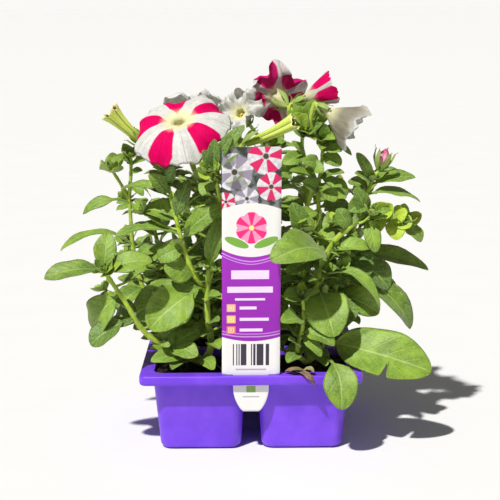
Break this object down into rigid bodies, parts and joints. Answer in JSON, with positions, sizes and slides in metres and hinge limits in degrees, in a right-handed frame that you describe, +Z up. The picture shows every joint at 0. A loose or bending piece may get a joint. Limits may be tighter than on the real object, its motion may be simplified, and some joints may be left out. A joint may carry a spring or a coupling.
{
  "type": "petunia bedding plant cell pack",
  "caption": "Young flowering petunias in a shallow plastic cell pack with rims, leafy stems, star-striped and white blooms, buds and an upright plant label.",
  "frame": {"origin": "middle of the pack's footprint, on the surface that the cells stand on", "axes": "+X to the right along the front rim, +Y from the label to the back, +Z up"},
  "size_m": [0.264, 0.1776, 0.2514],
  "materials": {
    "purple_plastic": "satin, thermoformed",
    "printed_plastic": "satin print on white sheet",
    "potting_mix": "crumbly, moist",
    "leaf_green": "soft, finely hairy",
    "petal_star": "velvety, white bands",
    "petal_white": "thin, veined",
    "young_trumpet": "furrowed, finely hairy",
    "bud_pink": "furled",
    "withered_leaf": "dry, crumpled"
  },
  "bodies": {
    "root": {"cell_pack": "purple_plastic", "plant_label": "printed_plastic", "plant_front_left": "leaf_green", "plant_front_right": "leaf_green", "plant_back_left": "leaf_green", "plant_back_right": "leaf_green", "potting_mix_front_left": "potting_mix", "potting_mix_front_right": "potting_mix", "potting_mix_back_left": "potting_mix", "potting_mix_back_right": "potting_mix", "bloom_star": "petal_star", "bloom_turned": "petal_star", "bloom_half_open": "petal_star", "bloom_white": "petal_white", "bloom_back_left": "petal_white", "bloom_back_middle": "petal_star", "bloom_pale": "petal_white", "trumpet_left": "young_trumpet", "trumpet_right": "young_trumpet", "bud_pink": "bud_pink", "bud_back": "bud_pink", "withered_leaf": "withered_leaf"}
  },
  "joints": []
}
